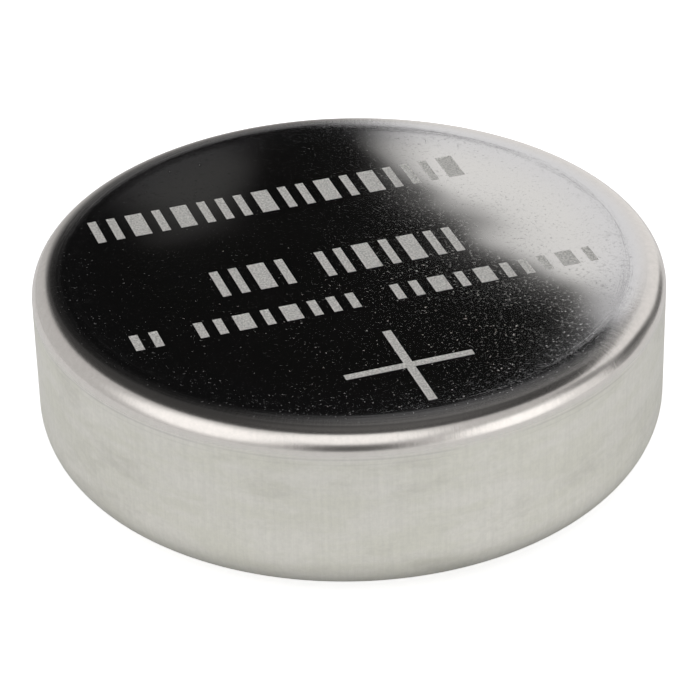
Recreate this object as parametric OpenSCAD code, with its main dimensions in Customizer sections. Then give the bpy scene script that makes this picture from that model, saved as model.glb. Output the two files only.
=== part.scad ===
// Lithium coin cell, 24.5 mm across and 7.7 mm high.
// Every piece is turned about Z. The cell stands on its negative terminal, with the positive one on top.
// The origin is the centre of the negative terminal's flat face.

/* [Cell] */
// Diameter over the positive can
cell_d = 24.5; // [20:0.5:30]
// Height over both terminals
cell_h = 7.7; // [6.4:0.1:10]
// Play between two formed faces that press together
seat_gap = 0.02; // [0.01:0.005:0.03]

/* [Positive can] */
// Sheet thickness of the can
can_wall = 0.3; // [0.2:0.05:0.4]
// Outer radius of the shoulder between the top face and the side
shoulder_r = 0.85; // [0.6:0.05:1.1]
// Distance from the can's side to the edge of its flat top face
face_margin = 1.45; // [1.25:0.05:1.7]
// Slope of the rolled-off band between the flat face and the shoulder, in degrees
rolloff_angle = 5; // [3:0.5:8]
// Radius that blends the flat face into that band
rolloff_r = 4; // [2:0.5:4.5]
// Outer radius of the bend that closes the can over the seal
crimp_r = 2; // [1.7:0.1:2.3]
// How far that bend turns inwards, in degrees
crimp_angle = 64; // [60:1:68]
// Straight lip past the bend
lip_run = 0.7; // [0.5:0.05:0.85]
// Height of the can's lip above the negative terminal
lip_step = 0.2; // [0.15:0.01:0.3]

/* [Negative cap] */
// Sheet thickness of the cap
cap_wall = 0.3; // [0.2:0.05:0.35]
// Outer radius round the negative terminal's flat face
terminal_r = 0.4; // [0.3:0.05:0.45]
// Radius of the hollow bend between the terminal and the cap's shoulder
neck_r = 0.3; // [0.2:0.05:0.4]

/* [Gasket] */
// Room for the gasket between the can and the cap
seal_room = 0.45; // [0.4:0.05:0.55]
// Width of the gasket's ring that shows in the can's mouth
seal_show = 0.35; // [0.25:0.05:0.45]
// How far the gasket's showing end stands out past the can's lip, towards the terminal's face
seal_rise = 0.05; // [0:0.01:0.1]
// Thickness of the gasket's foot past the edge of the cap's skirt
foot_t = 0.5; // [0.35:0.05:0.7]
// Thickness of the gasket's inner leg
leg_t = 0.4; // [0.3:0.05:0.5]
// Height of the inner leg and the foot together
leg_h = 1.7; // [1.2:0.1:2.2]

/* [Cathode] */
// Gap between the gasket's inner leg and the cathode ring
ring_gap = 0.18; // [0.1:0.02:0.3]
// Sheet thickness of the cathode ring
ring_t = 0.15; // [0.1:0.05:0.2]
// Height of the ring's wall
ring_h = 2; // [1:0.1:2.6]
// Width of the ring's flange over the pellet's face
flange_w = 1.6; // [1:0.1:3]
// Outer radius of the bend between the ring's wall and its flange
ring_bend_r = 0.3; // [0.25:0.05:0.4]

/* [Anode and separator] */
// Thickness of the lithium disc
lithium_t = 1.75; // [1.2:0.05:2.2]
// Gap between the lithium disc's edge and the cap
lithium_gap = 0.3; // [0.2:0.05:0.5]
// Radius of the lithium disc's edges
lithium_edge_r = 0.15; // [0.1:0.05:0.3]
// Thickness of the separator
separator_t = 0.25; // [0.15:0.05:0.3]
// Inner radius of the separator's fold round the pellet's edge
fold_r = 0.25; // [0.15:0.05:0.4]
// Gap between the separator's rim and the gasket's inner leg
rim_gap = 0.4; // [0.2:0.05:0.8]

/* [Hidden] */
$fn = 180;
arc_step = 5; // largest turn between two points of an arc, in degrees

steel = "lightsteelblue";
cap_steel = "silver";
polypropylene = "ivory";
lithium = "lightgray";
nonwoven = "white";
cathode_mix = "dimgray";

// The can, from its top face to its lip. Points are [radius, height].
can_r = cell_d / 2;
can_in_r = can_r - can_wall;
floor_z = cell_h - can_wall; // inside of the top face, which the cathode rests against
flat_r = can_r - face_margin;
band_in = [flat_r, cell_h] + rolloff_r * [sin(rolloff_angle), cos(rolloff_angle) - 1];
band_out_r = can_r - shoulder_r * (1 - sin(rolloff_angle));
band_out_z = band_in[1] - (band_out_r - band_in[0]) * tan(rolloff_angle);
shoulder_c = [can_r - shoulder_r, band_out_z - shoulder_r * cos(rolloff_angle)];

// The crimp. Can, gasket and cap all bend about this one centre.
lip_dir = [-sin(crimp_angle), -cos(crimp_angle)]; // along the lip, towards the mouth
lip_in = [-cos(crimp_angle), sin(crimp_angle)]; // through the sheet, towards its inner face
crimp_c = [can_r - crimp_r, lip_step + lip_run * cos(crimp_angle) + crimp_r * sin(crimp_angle)];
lip_end = crimp_c - crimp_r * lip_in + lip_run * lip_dir;
mouth_r = (lip_end + can_wall * lip_in)[0];

// The cap, from its terminal to the edge of its skirt
cap_r = can_in_r - seal_room;
cap_bend_r = crimp_r - can_wall - seal_room;
terminal_wall_r = mouth_r - seal_show;
slope_start = crimp_c - cap_bend_r * lip_in; // where the cap's shoulder meets its skirt's bend
neck_end_r = terminal_wall_r + neck_r * (1 - cos(crimp_angle));
neck_end_z = slope_start[1] - (slope_start[0] - neck_end_r) / tan(crimp_angle);
neck_c = [terminal_wall_r + neck_r, neck_end_z - neck_r * sin(crimp_angle)];
skirt_z = floor_z - foot_t;

// The gasket's groove and inner leg
leg_out_r = cap_r - cap_wall - seat_gap;
leg_in_r = leg_out_r - leg_t;
leg_z = floor_z - leg_h;

// The stack inside, from the cap upwards
lithium_r = terminal_wall_r - cap_wall - lithium_gap;
separator_z = cap_wall + lithium_t;
pellet_z = separator_z + separator_t;
pellet_r = leg_in_r - ring_gap;
rim_z = leg_z - rim_gap;

// Points of an arc about c, from angle a0 to a1
function arc(c, r, a0, a1) =
  let (n = ceil(abs(a1 - a0) / arc_step))
  [for (i = [0:n]) let (a = a0 + (a1 - a0) * i / n) c + r * [cos(a), sin(a)]];

function reversed(points) = [for (i = [len(points) - 1:-1:0]) points[i]];

// One face of a formed sheet, at a depth below its outer face. Straight stretches run between the bends.
// start and end are [point on the outer face, direction through the sheet].
// A bend is [centre, outer face's radius, 1 if the centre is on the inner side or -1, first angle, last angle].
function sheet_face(start, bends, end, depth) = concat(
  [start[0] + depth * start[1]],
  [for (b = bends) each arc(b[0], b[1] - b[2] * depth, b[3], b[4])],
  [end[0] + depth * end[1]]
);

// Outline of a formed sheet's section
function sheet_section(start, bends, end, wall) = concat(
  sheet_face(start, bends, end, 0),
  reversed(sheet_face(start, bends, end, wall))
);

module turned(section) {
  rotate_extrude() polygon(section);
}

// Deep-drawn cup whose closed end is the positive terminal. Its rim is crimped in over the seal.
module positive_can() {
  bends = [
    [[flat_r, cell_h - rolloff_r], rolloff_r, 1, 90, 90 - rolloff_angle],
    [shoulder_c, shoulder_r, 1, 90 - rolloff_angle, 0],
    [crimp_c, crimp_r, 1, 0, -crimp_angle]
  ];
  color(steel)
    turned(sheet_section([[0, cell_h], [0, -1]], bends, [lip_end, lip_in], can_wall));
}

// Stepped cup whose raised centre is the negative terminal. Its skirt stands in the gasket's groove.
module negative_cap() {
  bends = [
    [[terminal_wall_r - terminal_r, terminal_r], terminal_r, 1, -90, 0],
    [neck_c, neck_r, -1, 180, 180 - crimp_angle],
    [crimp_c, cap_bend_r, 1, -crimp_angle, 0]
  ];
  color(cap_steel)
    turned(sheet_section([[0, 0], [0, 1]], bends, [[cap_r, skirt_z], [-1, 0]], cap_wall));
}

// Moulded ring with a J section: a wall between can and cap, a foot past the skirt, and a short inner leg
module gasket() {
  wall_out_r = can_in_r - seat_gap;
  groove_r = cap_r + seat_gap;
  shoulder_in_r = shoulder_r - can_wall - seat_gap;
  crimp_out_r = crimp_r - can_wall - seat_gap;
  foot_z = shoulder_c[1] + shoulder_in_r;
  lip_r = mouth_r - seat_gap;
  lip_z = crimp_c[1] - crimp_out_r * sin(crimp_angle)
    - (crimp_c[0] + crimp_out_r * cos(crimp_angle) - lip_r) / tan(crimp_angle);
  show_r = terminal_wall_r + seat_gap;
  show_z = lip_step - seal_rise;
  tip_r = leg_t / 2;
  section = concat(
    arc([leg_in_r + tip_r, leg_z + tip_r], tip_r, 180, 360),
    [[leg_out_r, skirt_z], [groove_r, skirt_z]],
    arc(crimp_c, cap_bend_r + seat_gap, 0, -crimp_angle),
    arc(neck_c, neck_r - seat_gap, 180 - crimp_angle, 180),
    [[show_r, show_z]],
    arc([lip_r - tip_r / 2, show_z + tip_r / 2], tip_r / 2, 270, 360),
    [[lip_r, lip_z]],
    arc(crimp_c, crimp_out_r, -crimp_angle, 0),
    arc(shoulder_c, shoulder_in_r, 0, 90),
    [[leg_in_r, foot_z]]
  );
  color(polypropylene)
    turned(section);
}

// Punched disc pressed onto the inside of the cap
module lithium_anode() {
  edge_r = lithium_r - lithium_edge_r;
  section = concat(
    [[0, cap_wall]],
    arc([edge_r, cap_wall + lithium_edge_r], lithium_edge_r, -90, 0),
    arc([edge_r, separator_z - lithium_edge_r], lithium_edge_r, 0, 90),
    [[0, separator_z]]
  );
  color(lithium)
    turned(section);
}

// Nonwoven disc between anode and cathode, folded up round the pellet
module separator() {
  fold_out_r = fold_r + seat_gap + separator_t;
  fold = [
    [pellet_r - fold_r, separator_z + fold_out_r], fold_out_r, 1, -90, 0
  ];
  rim = [[pellet_r + seat_gap + separator_t, rim_z], [-1, 0]];
  color(nonwoven)
    turned(sheet_section([[0, separator_z], [0, 1]], [fold], rim, separator_t));
}

// Pressed pellet of manganese dioxide. A rebate round its upper edge takes the cathode ring.
module cathode_pellet() {
  rebate_r = pellet_r - ring_t - seat_gap;
  rebate_bend_r = ring_bend_r - ring_t - seat_gap;
  bend_c = [pellet_r - ring_bend_r, floor_z - ring_bend_r];
  boss_r = pellet_r - flange_w - seat_gap;
  section = concat(
    [[0, pellet_z]],
    arc([pellet_r - fold_r, pellet_z + fold_r + seat_gap], fold_r, -90, 0),
    [[pellet_r, floor_z - ring_h], [rebate_r, floor_z - ring_h]],
    arc(bend_c, rebate_bend_r, 0, 90),
    [[boss_r, floor_z - ring_t - seat_gap], [boss_r, floor_z], [0, floor_z]]
  );
  color(cathode_mix)
    turned(section);
}

// L-section ring pressed round the pellet's upper edge, which carries current to the can
module cathode_ring() {
  bend = [[pellet_r - ring_bend_r, floor_z - ring_bend_r], ring_bend_r, 1, 90, 0];
  flange_edge = [[pellet_r - flange_w, floor_z], [0, -1]];
  wall_edge = [[pellet_r, floor_z - ring_h], [-1, 0]];
  color(steel)
    turned(sheet_section(flange_edge, [bend], wall_edge, ring_t));
}

positive_can();
gasket();
negative_cap();
lithium_anode();
separator();
cathode_pellet();
cathode_ring();
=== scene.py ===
import itertools
import math

import bmesh
import bpy
from mathutils import Matrix, Quaternion, Vector


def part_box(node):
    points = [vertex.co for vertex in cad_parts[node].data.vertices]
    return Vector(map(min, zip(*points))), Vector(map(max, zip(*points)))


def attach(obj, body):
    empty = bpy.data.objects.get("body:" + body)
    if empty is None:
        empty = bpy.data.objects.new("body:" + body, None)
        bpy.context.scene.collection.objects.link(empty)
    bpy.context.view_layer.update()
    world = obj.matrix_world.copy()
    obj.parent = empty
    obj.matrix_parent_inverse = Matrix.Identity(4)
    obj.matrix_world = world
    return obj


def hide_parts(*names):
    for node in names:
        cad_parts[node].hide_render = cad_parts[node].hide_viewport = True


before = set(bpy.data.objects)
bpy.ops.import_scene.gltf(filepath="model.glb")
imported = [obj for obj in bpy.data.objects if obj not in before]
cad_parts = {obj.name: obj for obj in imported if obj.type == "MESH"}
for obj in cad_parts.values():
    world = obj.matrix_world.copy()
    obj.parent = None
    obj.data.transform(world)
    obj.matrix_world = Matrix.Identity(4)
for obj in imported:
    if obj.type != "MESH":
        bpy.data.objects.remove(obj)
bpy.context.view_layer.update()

# Lengths are in millimetres and angles in degrees until they reach Blender
mm = 0.001
cellLow, cellHigh = (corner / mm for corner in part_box("positive_can"))
cellRadius = cellHigh.x
topZ = cellHigh.z
print("frame loaded: radius", round(cellRadius, 3), "top", round(topZ, 3))


# Camera, at the place that the cell's outline in the photograph gives

camera = {
    "lens": 167.7,
    "distance": 127.87,
    "elevation": 32.04,
    "roll": -1.31,
    "aim": (0, 0, topZ / 2),
    "shift": (-0.0003, -0.009),    # shares of the picture's width
    "nearest": 1,              # where the view starts
}


def placeCamera():
    data = bpy.data.cameras.new("studio_camera")
    data.lens = camera["lens"]
    data.shift_x, data.shift_y = camera["shift"]
    data.clip_start = camera["nearest"] * mm
    rig = bpy.data.objects.new("studio_camera", data)
    bpy.context.scene.collection.objects.link(rig)
    elevation = math.radians(camera["elevation"])
    back = Vector((0, -math.cos(elevation), math.sin(elevation)))
    rig.location = (Vector(camera["aim"]) + back * camera["distance"]) * mm
    rig.rotation_mode = "QUATERNION"
    roll = Quaternion((0, 0, 1), math.radians(camera["roll"]))
    rig.rotation_quaternion = (-back).to_track_quat("-Z", "Y") @ roll
    bpy.context.scene.camera = rig


placeCamera()
print("camera placed:", camera["distance"], "mm away,", camera["elevation"], "degrees up")


# Section outlines in the XZ plane, which a full turn about Z makes solid

sameInSection = 0.00001        # points this close are merged before the turn
sameAfterTurn = 0.0001         # and points this close after it


class Outline:
    def __init__(self, x, z):
        self.bm = bmesh.new()
        self.tip = bmesh.ops.create_vert(self.bm, co=(x * mm, 0, z * mm))["vert"][0]

    def line(self, x, z):
        self.tip = bmesh.ops.extrude_vert_indiv(self.bm, verts=[self.tip])["verts"][0]
        self.tip.co = (x * mm, 0, z * mm)
        return self

    def arc(self, centre, degrees, parts):  # positive turns from +Z towards +X
        swept = bmesh.ops.spin(
            self.bm, geom=[self.tip], cent=(centre[0] * mm, 0, centre[1] * mm),
            axis=(0, 1, 0), angle=math.radians(degrees), steps=parts)
        self.tip = [part for part in swept["geom_last"] if isinstance(part, bmesh.types.BMVert)][0]
        return self

    def turned(self, name, steps):
        bm = self.bm
        bmesh.ops.remove_doubles(bm, verts=bm.verts, dist=sameInSection * mm)
        bmesh.ops.spin(
            bm, geom=bm.verts[:] + bm.edges[:], cent=(0, 0, 0), axis=(0, 0, 1),
            angle=math.tau, steps=steps, use_merge=True)
        bmesh.ops.remove_doubles(bm, verts=bm.verts, dist=sameAfterTurn * mm)
        bmesh.ops.recalc_face_normals(bm, faces=bm.faces)
        return meshObject(name, bm)


def meshObject(name, bm):
    mesh = bpy.data.meshes.new(name)
    bm.to_mesh(mesh)
    bm.free()
    piece = bpy.data.objects.new(name, mesh)
    bpy.context.scene.collection.objects.link(piece)
    return piece


def shadeSmooth(piece, sharpAngle):
    piece.data.shade_smooth()
    piece.data.set_sharp_from_angle(angle=math.radians(sharpAngle))


def dress(piece, finish, replaced):
    piece.data.materials.append(finish)
    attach(piece, "root")
    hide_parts(replaced)


# Shader maths: a Value is one output socket, and a Finish is one material's node tree

class Value:
    def __init__(self, finish, socket):
        self.finish = finish
        self.socket = socket

    def maths(self, operation, *others):
        terms = dict(enumerate([self, *others]))
        return self.finish.node("ShaderNodeMath", {"operation": operation}, terms)

    def __add__(self, other):
        return self.maths("ADD", other)

    def __sub__(self, other):
        return self.maths("SUBTRACT", other)

    def __rsub__(self, other):
        return self.finish.node("ShaderNodeMath", {"operation": "SUBTRACT"}, {0: other, 1: self})

    def __mul__(self, other):
        return self.maths("MULTIPLY", other)

    def __truediv__(self, other):
        return self.maths("DIVIDE", other)

    def __pow__(self, other):
        return self.maths("POWER", other)

    def __abs__(self):
        return self.maths("ABSOLUTE")

    __radd__ = __add__
    __rmul__ = __mul__

    def over(self, other):  # the larger of the two
        return self.maths("MAXIMUM", other)

    def rise(self, low, high):  # 0 below low, 1 above high, and an S curve between them
        return self.finish.node(
            "ShaderNodeMapRange", {"interpolation_type": "SMOOTHSTEP"},
            {"Value": self, "From Min": low, "From Max": high})

    def near(self, centre, width):  # 1 at the centre, 0 from the width on
        return 1 - abs(self - centre).rise(0, width)


class Finish:
    def __init__(self, name, world=None):
        self.material = world or bpy.data.materials.new(name)
        self.material.use_nodes = True
        self.tree = self.material.node_tree
        self.tree.nodes.clear()
        if world:  # its colour goes by the way that a ray leaves
            self.toward = self.node("ShaderNodeTexCoord", out="Generated")
        else:
            place = self.node("ShaderNodeTexCoord", out="Object")
            self.inMm = self.vector("SCALE", place, Scale=1 / mm)

    def node(self, kind, settings=None, inputs=None, out=0):
        made = self.tree.nodes.new(kind)
        for setting, choice in (settings or {}).items():
            setattr(made, setting, choice)
        for name, given in (inputs or {}).items():
            if isinstance(given, Value):
                self.tree.links.new(given.socket, made.inputs[name])
            else:
                made.inputs[name].default_value = given
        return Value(self, made.outputs[out]) if made.outputs else None

    def vector(self, operation, first, second=None, out=0, **named):
        inputs = {0: first, **named}
        if second is not None:
            inputs[1] = second
        return self.node("ShaderNodeVectorMath", {"operation": operation}, inputs, out)

    def split(self, vector):
        first = self.node("ShaderNodeSeparateXYZ", {}, {"Vector": vector})
        return [Value(self, socket) for socket in first.socket.node.outputs]

    def mapped(self, scale, turn=0, shift=(0, 0, 0)):  # turned about Z, then scaled
        turned = self.node("ShaderNodeMapping", {}, {
            "Vector": self.inMm, "Location": shift, "Rotation": (0, 0, math.radians(turn))})
        return self.vector("MULTIPLY", turned, scale)

    def noise(self, place, detail, roughness=0.5):
        return self.node("ShaderNodeTexNoise", {}, {
            "Vector": place, "Scale": 1, "Detail": detail, "Roughness": roughness}, "Fac")

    def cloud(self, scale, detail, roughness=0.5, **place):
        return self.noise(self.mapped(scale, **place), detail, roughness)

    def hairs(self, scale, turns, low, high, slide=0):  # fine lines that cross, a layer for each turn
        crossed = None
        for turn in turns:
            layer = self.cloud(scale, detail=2, turn=turn, shift=(turn, slide, 0)).rise(low, high)
            crossed = crossed.over(layer) if crossed else layer
        return crossed

    def grains(self, scale):
        return self.node("ShaderNodeTexVoronoi", {}, {
            "Vector": self.mapped(scale), "Scale": 1}, "Distance")

    def blend(self, share, first, second):  # colours
        return self.node("ShaderNodeMix", {"data_type": "RGBA"}, {0: share, 6: first, 7: second}, 2)

    def bump(self, height, strength, depth, under=None):
        inputs = {"Height": height, "Strength": strength, "Distance": depth * mm}
        if under:
            inputs["Normal"] = under
        return self.node("ShaderNodeBump", {}, inputs)

    def surface(self, **sockets):
        named = {name.replace("_", " "): given for name, given in sockets.items()}
        shader = self.node("ShaderNodeBsdfPrincipled", {}, named)
        self.node("ShaderNodeOutputMaterial", {}, {"Surface": shader})
        return self.material


def rgb(red, green, blue):
    return (red, green, blue, 1)


# Can: a deep-drawn cup, closed end up, with its rim crimped in over the gasket

can = {
    "wall": 0.3,
    "faceRadius": 10.8,        # where the flat face ends
    "faceSupport": 0.12,       # a ring this far inside it keeps the mirror flat
    "rolloffAngle": 5,         # from the face down to the shoulder
    "rolloffRadius": 4,
    "shoulderRadius": 0.85,
    "crimpRadius": 2,
    "crimpAngle": 64,
    "lipRun": 0.7,
    # parts of each bend, outside and inside, and of the full turn
    "rolloffParts": (6, 4),
    "shoulderParts": (24, 12),
    "crimpParts": (24, 16),
    "turnParts": 288,
    "sharpAngle": 30,
}


def polar(centre, radius, degrees):  # degrees turn from +X towards +Z
    angle = math.radians(degrees)
    return centre[0] + radius * math.cos(angle), centre[1] + radius * math.sin(angle)


def bendCentres():  # of the roll-off, the shoulder and the crimp
    slope, fold = math.radians(can["rolloffAngle"]), math.radians(can["crimpAngle"])
    rolloff = (can["faceRadius"], topZ - can["rolloffRadius"])
    slopeTop = polar(rolloff, can["rolloffRadius"], 90 - can["rolloffAngle"])
    shoulderX = cellRadius - can["shoulderRadius"]
    slopeRun = shoulderX + can["shoulderRadius"] * math.sin(slope) - slopeTop[0]
    slopeFoot = slopeTop[1] - slopeRun * math.tan(slope)
    shoulder = (shoulderX, slopeFoot - can["shoulderRadius"] * math.cos(slope))
    crimpZ = cellLow.z + can["lipRun"] * math.cos(fold) + can["crimpRadius"] * math.sin(fold)
    return rolloff, shoulder, (cellRadius - can["crimpRadius"], crimpZ)


def buildCan():
    wall, slope, fold = can["wall"], can["rolloffAngle"], can["crimpAngle"]
    rolloff, shoulder, crimp = bendCentres()

    def lipPoints(bendRadius):  # where the lip leaves the crimp, and where it ends
        x, z = polar(crimp, bendRadius, -fold)
        run, angle = can["lipRun"], math.radians(fold)
        return (x, z), (x - run * math.sin(angle), z - run * math.cos(angle))

    outerLip = lipPoints(can["crimpRadius"])
    innerLip = lipPoints(can["crimpRadius"] - wall)
    outline = Outline(0, topZ)
    outline.line(can["faceRadius"] - can["faceSupport"], topZ)
    outline.line(can["faceRadius"], topZ).arc(rolloff, slope, can["rolloffParts"][0])
    outline.line(*polar(shoulder, can["shoulderRadius"], 90 - slope))
    outline.arc(shoulder, 90 - slope, can["shoulderParts"][0])
    outline.line(cellRadius, crimp[1]).arc(crimp, fold, can["crimpParts"][0])
    outline.line(*outerLip[1]).line(*innerLip[1])
    outline.line(*innerLip[0]).arc(crimp, -fold, can["crimpParts"][1])
    outline.line(cellRadius - wall, shoulder[1]).arc(shoulder, slope - 90, can["shoulderParts"][1])
    outline.line(*polar(rolloff, can["rolloffRadius"] - wall, 90 - slope))
    outline.arc(rolloff, -slope, can["rolloffParts"][1])
    outline.line(0, topZ - wall)
    shell = outline.turned("can_shell", can["turnParts"])
    shadeSmooth(shell, can["sharpAngle"])
    return shell


# The can's steel: a worn mirror on the face, and finely drawn satin on the shoulder and the side

canLook = {
    # where one finish starts and where it is full, as heights
    "faceHeight": (topZ - 0.2, topZ - 0.06),
    "sideHeight": (topZ - 1.3, topZ - 0.6),
    # the crimp's painted shade: full below the first height, gone above the second
    "paintedShadeHeight": (0.4, 2.6),
    # the same as radii
    "faceEnd": (can["faceRadius"] + 0.1, can["faceRadius"] + 1),
    # the face's worn edge, which also carries a painted blue reflection
    "wornEdgeAndReflection": (can["faceRadius"] - 2.2, can["faceRadius"] + 0.1),
    "streakRing": (can["faceRadius"] + 0.3, 0.8),      # middle and half width
    "dustFade": (-3, 4),       # along Y, towards the back
    "dustLost": 0.4,           # share of the dust that is gone there
    "edgeDust": 0.08,
    # fine lines round the side that the drawing left: height, half width and strength
    "drawLines": [(topZ - 1.08, 0.06, 1), (topZ - 1.3, 0.05, 0.5)],
    # roughness
    "mirror": 0.045,
    "specks": 0.4,
    "scratches": 0.07,         # share of the specks' roughness
    "smears": 0.012,
    "edgeSmears": 0.12,
    "edgeHaze": 0.02,
    "satin": 0.2,
    "sideExtra": 0.15,
    # colours
    "face": rgb(0.78, 0.765, 0.755),
    "side": rgb(0.868, 0.853, 0.803),
    "shoulder": rgb(0.82, 0.78, 0.755),
    # tints in the order that they lie over one another: colour and strength
    # painted reflection: a bluish tint at the face's worn edge that stands in for blue light mirrored
    # there
    "paintedEdgeReflection": (rgb(0.68, 0.69, 0.78), 0.3),
    "stains": (rgb(0.8, 0.795, 0.71), 0.65),
    "smudges": (rgb(0.6, 0.59, 0.53), 0.45),
    "mottling": (rgb(0.5, 0.5, 0.47), 0.14),
    "drawnShade": (rgb(0.5, 0.5, 0.47), 0.11),
    # painted shade on the crimp, darkest at the bottom, standing in for the shadowed floor that it mirrors
    "crimpPaintedShade": (rgb(0.3, 0.3, 0.29), 0.45),
    "lineShade": (rgb(0.35, 0.34, 0.32), 0.22),
    # heights in the relief, and its own strength and depth
    "waves": 0.016,
    "mottlingRelief": 0.4,
    "drawnRelief": 0.9,
    "scratchRelief": 0.02,
    "streakRelief": 0.9,
    "relief": (0.5, 0.01),
}


class CanSteel(Finish):
    def __init__(self):
        super().__init__("mirror_steel")
        self.x, self.y, self.z = self.split(self.inMm)
        self.radius = (self.x * self.x + self.y * self.y) ** 0.5
        self.onFace = self.z.rise(*canLook["faceHeight"]) * (1 - self.radius.rise(*canLook["faceEnd"]))
        self.offFace = 1 - self.onFace
        self.onSide = 1 - self.z.rise(*canLook["sideHeight"])
        # where the face's edge is worn, and where its painted blue reflection lies
        self.edge = self.radius.rise(*canLook["wornEdgeAndReflection"])
        self.drawn = self.drawnNoise(around=75, along=0.3, detail=4, roughness=0.75)
        self.mottled = self.cloud((4.5, 4.5, 4.5), detail=5, roughness=0.75)
        self.scratches = self.hairs((1.2, 22, 0), turns=(50, 57, 86, 160), low=0.69, high=0.78, slide=3)

    # noise that changes at one pace round the axis and at another along the can's section
    def drawnNoise(self, around, along, detail, roughness):
        place = self.node("ShaderNodeCombineXYZ", {}, {
            "X": self.x / self.radius * around, "Y": self.y / self.radius * around,
            "Z": (self.radius + self.z) * along})
        return self.noise(place, detail, roughness)

    def roughness(self):
        patches = self.cloud((0.7, 0.7, 0), detail=4, roughness=0.65, shift=(4, 9, 0))
        dusty = (patches + canLook["edgeDust"] * self.edge).rise(0.15, 0.7)
        dusty = dusty * (1 - canLook["dustLost"] * self.y.rise(*canLook["dustFade"]))
        specks = self.cloud((7.5, 7.5, 0), detail=4, roughness=0.65).rise(0.56, 0.75) * dusty
        worn = specks.over(self.scratches * patches.rise(0.5, 0.68) * canLook["scratches"])
        smears = self.cloud((2.2, 2.2, 0), detail=6, roughness=0.7, shift=(1, 7, 0)).rise(0.52, 0.8)
        haze = (canLook["smears"] + canLook["edgeSmears"] * self.edge) * smears
        haze = haze + canLook["edgeHaze"] * self.edge
        face = (canLook["mirror"] + canLook["specks"] * worn + haze) * self.onFace
        return face + canLook["satin"] * self.offFace + canLook["sideExtra"] * self.onSide

    def drawLines(self):
        lines = sum(self.z.near(height, halfWidth) * strength
                    for height, halfWidth, strength in canLook["drawLines"])
        return lines * self.cloud((0.2, 0.2, 0.2), detail=1).rise(0.35, 0.6)

    def colour(self):
        stained = self.cloud((0.25, 0.25, 1), detail=8, roughness=0.7).rise(0.4, 0.6)
        smudged = self.cloud((0.26, 0.26, 0.6), detail=8, roughness=0.7, shift=(3, 5, 2)).rise(0.48, 0.7)
        tints = {
            # painted reflection, bluish, at the face's edge
            "paintedEdgeReflection": self.onFace * self.edge,
            "stains": stained * self.onSide,
            "smudges": smudged * self.onSide,
            "mottling": self.mottled.rise(0.35, 0.65) * self.offFace,
            "drawnShade": self.drawn.rise(0.35, 0.65) * self.onSide,
            # painted shade, darker towards the bottom of the crimp
            "crimpPaintedShade": 1 - self.z.rise(*canLook["paintedShadeHeight"]),
            "lineShade": self.drawLines(),
        }
        colour = self.blend(self.onSide, canLook["face"], canLook["side"])
        colour = self.blend(self.offFace * (1 - self.onSide), colour, canLook["shoulder"])
        for name, mask in tints.items():
            tint, strength = canLook[name]
            colour = self.blend(mask * strength, colour, tint)
        return colour

    def relief(self):  # the face is a little wavy, and the drawn steel has its lines
        waves = (self.cloud((0.16, 0.16, 0), detail=1) - 0.5) * self.onFace
        wavy = self.bump(waves * canLook["waves"], 1, 1)
        streaks = self.drawnNoise(around=4, along=11, detail=4, roughness=0.7)
        streaks = streaks * self.radius.near(*canLook["streakRing"])
        satin = self.mottled * canLook["mottlingRelief"] + self.drawn * canLook["drawnRelief"]
        height = satin * self.offFace + self.scratches * canLook["scratchRelief"]
        height = height + streaks * canLook["streakRelief"]
        return self.bump(height, *canLook["relief"], wavy)


def mirrorSteel():
    finish = CanSteel()
    return finish.surface(
        Base_Color=finish.colour(), Metallic=1, Roughness=finish.roughness(), Normal=finish.relief())


# Marks etched into the positive face: a plus sign and rows of plain slanting strokes

marks = {
    "turn": 18.5,
    "depth": 0.03,
    "slant": 0.08,             # how far a mark's walls lean in
    "stroke": 0.34,
    "widths": (1, 1, 2, 1, 2, 1, 1, 1, 2),      # in strokes, side by side
    "gap": 0.42,
    "plusCentre": (-0.4, -7.97),
    "plusSpan": 5.0,
    # from x, to x, middle y, height
    "rows": [
        (-8.7, 7.0, 5.5, 1.7),
        (-5.35, -2.2, 0.0, 1.9),
        (-1.1, 5.0, 0.0, 1.9),
        (-9.5, -7.9, -2.95, 1.1),
        (-7.0, -0.2, -2.95, 1.1),
        (0.8, 9.0, -2.95, 1.1),
    ],
    "ground": rgb(0.56, 0.555, 0.54),
    "glint": rgb(0.97, 0.955, 0.93),
    "metallic": 0.6,
    "roughness": 0.3,
    "grainRoughness": 0.3,
    "relief": (0.6, 0.03),     # strength and depth
}


def etchedSteel():
    finish = Finish("etched_steel")
    grain = finish.cloud((12, 12, 12), detail=4, roughness=0.7).rise(0.36, 0.64)
    return finish.surface(
        Base_Color=finish.blend(grain, marks["ground"], marks["glint"]), Metallic=marks["metallic"],
        Roughness=marks["roughness"] + marks["grainRoughness"] * grain,
        Normal=finish.bump(grain, *marks["relief"]))


# A block that the face halves: it has the given width and height at the face, and narrows downwards
def addBar(bm, x, y, width, height):
    depth, slant = marks["depth"], marks["slant"]
    turn = Matrix.Rotation(math.radians(marks["turn"]), 4, "Z")
    corners = bmesh.ops.create_cube(bm, size=1)["verts"]
    lower = [corner for corner in corners if corner.co.z < 0]
    width, height = width + 2 * slant, height + 2 * slant
    bmesh.ops.scale(bm, verts=lower, vec=(1 - 4 * slant / width, 1 - 4 * slant / height, 1))
    place = Matrix.Translation((x * mm, y * mm, topZ * mm))
    size = Matrix.Diagonal((width * mm, height * mm, 2 * depth * mm, 1))
    bmesh.ops.transform(bm, verts=corners, matrix=turn @ place @ size)


def rowOfStrokes(start, end):  # each stroke's middle and width
    x = start
    for share in itertools.cycle(marks["widths"]):
        width = share * marks["stroke"]
        if x + width > end:
            return
        yield x + width / 2, width
        x += width + marks["gap"]


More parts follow.
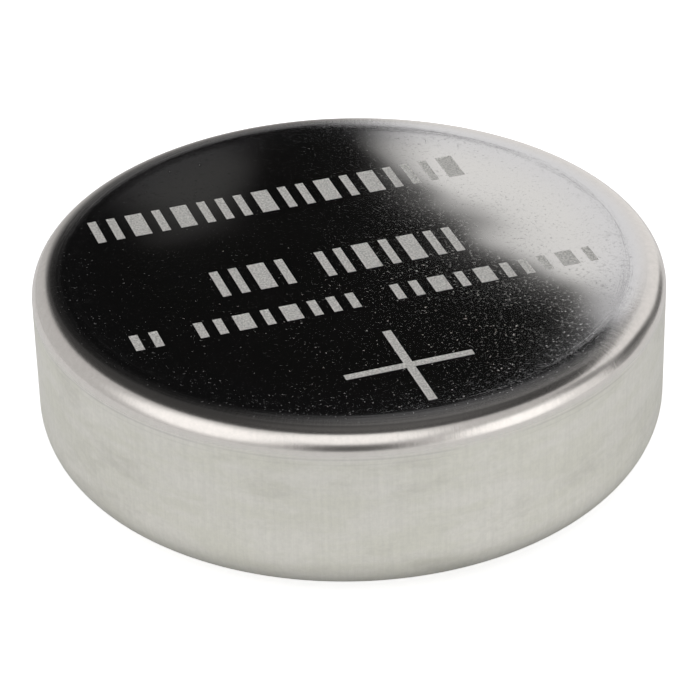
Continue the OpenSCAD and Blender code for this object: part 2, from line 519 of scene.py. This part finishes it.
def buildCutter(steel, etched):
    bm = bmesh.new()
    stroke, span = marks["stroke"], marks["plusSpan"]
    addBar(bm, *marks["plusCentre"], span, stroke)
    addBar(bm, *marks["plusCentre"], stroke, span)
    for start, end, y, height in marks["rows"]:
        for x, width in rowOfStrokes(start, end):
            addBar(bm, x, y, width, height)
    bm.normal_update()
    for face in bm.faces:
        isFloor = face.normal.z < -0.9         # it points down, and cuts a mark's floor
        face.material_index = 1 if isFloor else 0
    cutter = meshObject("etch_cutter", bm)
    cutter.data.materials.append(steel)
    cutter.data.materials.append(etched)
    return cutter


def etchMarks(shell, cutter):
    cut = shell.modifiers.new("etch", "BOOLEAN")
    cut.operation = "DIFFERENCE"
    cut.solver = "EXACT"
    cut.use_self = True
    cut.material_mode = "TRANSFER"
    cut.object = cutter
    graph = bpy.context.evaluated_depsgraph_get()
    cutMesh = bpy.data.meshes.new_from_object(shell.evaluated_get(graph))
    shell.modifiers.clear()
    shell.data = cutMesh
    bpy.data.objects.remove(cutter)


canShell = buildCan()
canSteel = mirrorSteel()
dress(canShell, canSteel, "positive_can")
etchMarks(canShell, buildCutter(canSteel, etchedSteel()))
print("can:", len(canShell.data.polygons), "faces,", len(canShell.data.materials), "finishes")


# Finishes of the pieces inside the can: the cap and the gasket show from below, the others not at all

cap = {
    "steel": rgb(0.66, 0.65, 0.62),
    "paleSteel": rgb(0.78, 0.77, 0.75),
    "brushLines": (rgb(0.46, 0.455, 0.44), 0.4),       # colour and strength
    "brushTurn": 25,
    "scuffTurn": 112,
    "roughness": 0.24,
    "smearRoughness": 0.1,
    "scuffRoughness": 0.1,
    "scuffRelief": 0.4,
    "relief": (0.5, 0.012),    # strength and depth, here and below
}


def satinSteel():
    finish = Finish("satin_steel")
    smeared = finish.cloud((0.4, 0.4, 0.4), detail=5, roughness=0.6).rise(0.3, 0.7)
    brushed = finish.cloud((0.35, 9, 1), detail=5, roughness=0.75, turn=cap["brushTurn"]).rise(0.3, 0.7)
    scuffed = finish.cloud((0.9, 18, 1), detail=2, turn=cap["scuffTurn"]).rise(0.7, 0.78)
    lineColour, strength = cap["brushLines"]
    colour = finish.blend(smeared, cap["steel"], cap["paleSteel"])
    colour = finish.blend(brushed * strength, colour, lineColour)
    roughness = cap["roughness"] + cap["smearRoughness"] * smeared + cap["scuffRoughness"] * scuffed
    return finish.surface(
        Base_Color=colour, Metallic=1, Roughness=roughness,
        Normal=finish.bump(brushed + scuffed * cap["scuffRelief"], *cap["relief"]))


gasket = {
    "shade": rgb(0.72, 0.71, 0.66),
    "milky": rgb(0.84, 0.83, 0.78),
    "roughness": 0.42,
    "cloudRoughness": 0.1,
    "lightSinksIn": 0.3,
    "lightDepth": 0.4,
    "relief": (0.2, 0.02),
}


def milkyPlastic():
    finish = Finish("milky_plastic")
    cloudy = finish.cloud((1.3, 1.3, 1.3), detail=3)
    return finish.surface(
        Base_Color=finish.blend(cloudy, gasket["shade"], gasket["milky"]),
        Roughness=gasket["roughness"] + gasket["cloudRoughness"] * cloudy,
        Subsurface_Weight=gasket["lightSinksIn"], Subsurface_Scale=gasket["lightDepth"] * mm,
        Normal=finish.bump(cloudy, *gasket["relief"]))


anode = {
    "lithium": rgb(0.62, 0.63, 0.65),
    "bloom": rgb(0.42, 0.42, 0.44),
    "roughness": 0.35,
    "bloomRoughness": 0.2,
    "relief": (0.4, 0.01),
}


def rolledLithium():
    finish = Finish("rolled_lithium")
    rolled = finish.cloud((0.6, 14, 1), detail=3)
    bloomed = finish.cloud((0.7, 0.7, 0.7), detail=4)
    return finish.surface(
        Base_Color=finish.blend(bloomed.rise(0.4, 0.7), anode["lithium"], anode["bloom"]),
        Metallic=1, Roughness=anode["roughness"] + anode["bloomRoughness"] * bloomed,
        Normal=finish.bump(rolled, *anode["relief"]))


separator = {
    "between": rgb(0.72, 0.72, 0.69),
    "fibres": rgb(0.9, 0.9, 0.88),
    "fibreTurns": (0, 35, 75, 110, 150),
    "roughness": 0.9,
    "relief": (0.6, 0.03),
}


def nonwovenFibre():
    finish = Finish("nonwoven_fibre")
    fibres = finish.hairs((1.5, 22, 8), separator["fibreTurns"], low=0.55, high=0.7)
    return finish.surface(
        Base_Color=finish.blend(fibres, separator["between"], separator["fibres"]),
        Roughness=separator["roughness"], Normal=finish.bump(fibres, *separator["relief"]))


pellet = {
    "powder": rgb(0.012, 0.012, 0.013),
    "dust": rgb(0.06, 0.06, 0.062),
    "roughness": 0.75,
    "dustRoughness": 0.15,
    "relief": (0.5, 0.04),
}


def pressedPowder():
    finish = Finish("pressed_powder")
    dusty = finish.cloud((2, 2, 2), detail=5, roughness=0.7)
    return finish.surface(
        Base_Color=finish.blend(dusty, pellet["powder"], pellet["dust"]),
        Roughness=pellet["roughness"] + pellet["dustRoughness"] * dusty,
        Normal=finish.bump(finish.grains((9, 9, 9)) + dusty, *pellet["relief"]))


ring = {
    "steel": rgb(0.5, 0.5, 0.5),
    "paleSteel": rgb(0.66, 0.66, 0.65),
    "roughness": 0.3,
    "lineRoughness": 0.1,
    "relief": (0.3, 0.01),
}


def ringSteel():
    finish = Finish("ring_steel")
    lined = finish.cloud((7, 7, 0.5), detail=3)
    return finish.surface(
        Base_Color=finish.blend(lined, ring["steel"], ring["paleSteel"]), Metallic=1,
        Roughness=ring["roughness"] + ring["lineRoughness"] * lined,
        Normal=finish.bump(lined, *ring["relief"]))


finishOf = {
    "gasket": milkyPlastic,
    "negative_cap": satinSteel,
    "lithium_anode": rolledLithium,
    "separator": nonwovenFibre,
    "cathode_pellet": pressedPowder,
    "cathode_ring": ringSteel,
}
for name, makeFinish in finishOf.items():
    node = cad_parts[name]
    node.data.materials.clear()
    node.data.materials.append(makeFinish())
print("cell inside: finishes on", len(finishOf), "nodes")


# Stage and surroundings: a white floor under a fill lamp, inside a light tent that the steel mirrors

studio = {
    "floorRadius": 45,         # the sheet that the cell reflects, beyond it the camera sees plain white
    "floorHole": 10.3,         # open under the terminal, and clear from below, so that the underside shows
    "floorDrop": 0.005,
    "floorParts": 96,
    "floorColour": rgb(0.9, 0.9, 0.9),
    "floorSeen": 0.7,          # extra glow that only the camera sees
    "fillWatts": 0.75,         # for the floor, the steel doesn't mirror this lamp
    "fillSize": 400,
    "fillHeight": 500,
    "tentColour": rgb(1, 0.995, 0.98),
    "wallGlow": 0.55,
    # each patch: compass from the back towards the right, height, inner and outer angle, glow
    "tent": [
        (0, 4, 10, 30, 0.4),        # back wall
        (-8, 22, 6, 20, 0.2),       # gap above it
        (180, 48, 14, 31, 1.1),     # card above the camera
        (0, 65.5, 39, 46, 0.045),   # open top
        (0, 33, 9, 16, 0.005),      # its darkest place
        (-3.3, 28.8, 0.2, 1.6, 0.05),           # beside the panel's corner
        (12, 49, 3, 15, 0.15),      # paler seam
        (25, 78, 2, 22, 0.11),      # paler roof
        (180, -55, 15, 50, 0.1),    # dark under the stand
    ],
    "panelGlow": 0.84,
    "panelEdge": [(0.1, 28.5), (6.1, 31.9)],   # two places on the back panel's slanting top edge
    "panelSoft": (-0.003, 0.003),              # across that edge
    "panelSide": (0, 0.03),                    # towards the right
    "panelFoot": (-0.3, -0.15),                # upwards
    # patches that lie over the panel too
    "lampsAndGaps": [
        (68, 8, 8, 20, 0.1),        # gap beside the back panel
        (46, -3, 4, 16, 0.15),      # its foot, to the left and to the right
        (72, -2, 5, 14, 0.2),
        (86, 30, 3, 16, 0.25),      # its top
        (-126, 25, 14, 38, 1.2),    # left lamp
        (124, 9, 12, 26, 1.3),      # right lamp
        (180, 3, 5, 24, 0.1),       # gap under the camera
    ],
}


def floorWhite():
    finish = Finish("floor_white")
    sheet = finish.node("ShaderNodeBsdfDiffuse", {}, {"Color": studio["floorColour"]})
    glow = finish.node("ShaderNodeEmission", {}, {"Color": rgb(1, 1, 1), "Strength": studio["floorSeen"]})
    glowing = finish.node("ShaderNodeAddShader", {}, {0: sheet, 1: glow})
    seen = finish.node("ShaderNodeLightPath", out="Is Camera Ray")
    top = finish.node("ShaderNodeMixShader", {}, {0: seen, 1: sheet, 2: glowing})
    clear = finish.node("ShaderNodeBsdfTransparent")
    fromBelow = finish.node("ShaderNodeNewGeometry", out="Backfacing")
    mixed = finish.node("ShaderNodeMixShader", {}, {0: fromBelow, 1: top, 2: clear})
    finish.node("ShaderNodeOutputMaterial", {}, {"Surface": mixed})
    return finish.material


def buildFloor():
    bm = bmesh.new()
    hole = studio["floorHole"]
    inner = bmesh.ops.create_circle(bm, segments=studio["floorParts"], radius=hole * mm)["verts"]
    grown = bmesh.ops.extrude_edge_only(bm, edges=bm.edges[:])["geom"]
    outer = [part for part in grown if isinstance(part, bmesh.types.BMVert)]
    reach = studio["floorRadius"] / hole
    bmesh.ops.scale(bm, verts=outer, vec=(reach, reach, 1))
    bmesh.ops.translate(bm, verts=inner + outer, vec=(0, 0, -studio["floorDrop"] * mm))
    bm.normal_update()
    bmesh.ops.reverse_faces(bm, faces=[face for face in bm.faces if face.normal.z < 0])
    floor = meshObject("floor", bm)
    floor.data.materials.append(floorWhite())


def buildFill():
    data = bpy.data.lights.new("floor_fill", "AREA")
    data.size = studio["fillSize"] * mm
    data.energy = studio["fillWatts"]
    lamp = bpy.data.objects.new("floor_fill", data)
    bpy.context.scene.collection.objects.link(lamp)
    lamp.location = (0, 0, studio["fillHeight"] * mm)
    lamp.visible_camera = lamp.visible_glossy = False


def direction(compass, height):
    compass, height = math.radians(compass), math.radians(height)
    flat = math.cos(height)
    return Vector((flat * math.sin(compass), flat * math.cos(compass), math.sin(height)))


def withPatches(tent, glow, patches):
    for compass, height, inner, outer, patchGlow in patches:
        facing = tent.vector("DOT_PRODUCT", tent.toward, direction(compass, height), out="Value")
        share = facing.rise(math.cos(math.radians(outer)), math.cos(math.radians(inner)))
        glow = glow + (patchGlow - glow) * share
    return glow


def withPanel(tent, glow):
    start, end = (direction(*place) for place in studio["panelEdge"])
    under = start.cross(end).normalized()
    x, y, z = tent.split(tent.toward)
    below = tent.vector("DOT_PRODUCT", tent.toward, under, out="Value").rise(*studio["panelSoft"])
    panel = below * x.rise(*studio["panelSide"]) * z.rise(*studio["panelFoot"])
    return glow + (studio["panelGlow"] - glow) * panel


def buildTent():
    world = bpy.data.worlds.new("light_tent")
    bpy.context.scene.world = world
    tent = Finish("light_tent", world)
    glow = withPatches(tent, studio["wallGlow"], studio["tent"])
    glow = withPatches(tent, withPanel(tent, glow), studio["lampsAndGaps"])
    lit = tent.node("ShaderNodeBackground", {}, {"Color": studio["tentColour"], "Strength": glow})
    white = tent.node("ShaderNodeBackground", {}, {"Color": rgb(1, 1, 1), "Strength": 1})
    seen = tent.node("ShaderNodeLightPath", out="Is Camera Ray")
    mixed = tent.node("ShaderNodeMixShader", {}, {0: seen, 1: lit, 2: white})
    tent.node("ShaderNodeOutputWorld", {}, {"Surface": mixed})


buildFloor()
buildFill()
buildTent()
bpy.context.scene.view_settings.view_transform = "Standard"
print("stage and light tent done:", len(studio["tent"]) + len(studio["lampsAndGaps"]), "patches")
